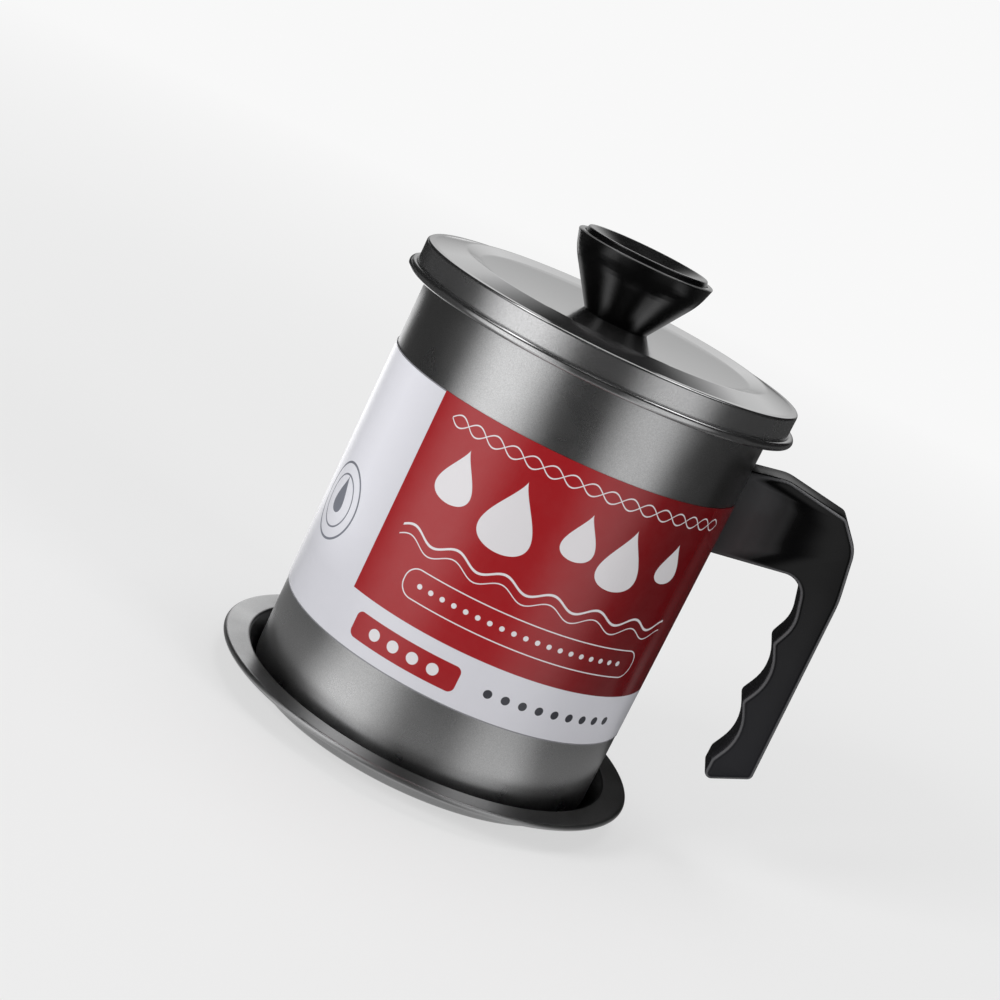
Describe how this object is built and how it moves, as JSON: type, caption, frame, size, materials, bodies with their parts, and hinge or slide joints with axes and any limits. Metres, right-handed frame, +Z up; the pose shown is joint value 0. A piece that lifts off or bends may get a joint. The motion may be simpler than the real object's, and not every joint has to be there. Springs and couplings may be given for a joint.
{
  "type": "bacon grease container",
  "caption": "Lidded grey steel pot on a drip tray, with a black side handle, a flared lid knob, a printed band and a lift-out fine mesh strainer for keeping cooking fat.",
  "frame": {"origin": "centre of the tray's underside, on the pot's axis, where the object stands", "axes": "+Z up along the pot's axis, +X from the axis towards the handle, +Y to the left of the handle"},
  "size_m": [0.1784, 0.146, 0.1762],
  "materials": {
    "tray_enamel": "satin",
    "pot_paint": "satin metallic",
    "lid_paint": "satin metallic",
    "label_print": "gloss",
    "bracket_steel": "plain",
    "grip_bakelite": "semi-gloss",
    "knob_bakelite": "gloss",
    "cap_bakelite": "semi-gloss",
    "fastener_steel": "plated",
    "strainer_steel": "polished",
    "mesh_wire": "woven wire",
    "insert_brass": "turned"
  },
  "bodies": {
    "tray": {"drip_tray": "tray_enamel"},
    "pot": {"pot_body": "pot_paint", "label_band": "label_print", "handle_bracket": "bracket_steel", "handle_grip": "grip_bakelite", "handle_nut": "fastener_steel", "handle_washer": "fastener_steel", "handle_screw": "fastener_steel"},
    "strainer": {"strainer_collar": "strainer_steel", "mesh_basket": "mesh_wire", "mesh_clamp_ring": "strainer_steel"},
    "lid": {"lid_shell": "lid_paint", "knob_body": "knob_bakelite", "knob_cap": "cap_bakelite", "knob_insert": "insert_brass", "knob_washer": "fastener_steel", "knob_screw": "fastener_steel"}
  },
  "joints": [
    {"name": "pot_lift", "type": "slide", "parent": "tray", "child": "pot", "axis": [0, 0, 1], "range_m": [0, 0.06]},
    {"name": "strainer_lift", "type": "slide", "parent": "pot", "child": "strainer", "axis": [0, 0, 1], "range_m": [0, 0.11]},
    {"name": "lid_lift", "type": "slide", "parent": "strainer", "child": "lid", "axis": [0, 0, 1], "range_m": [0, 0.08]}
  ]
}
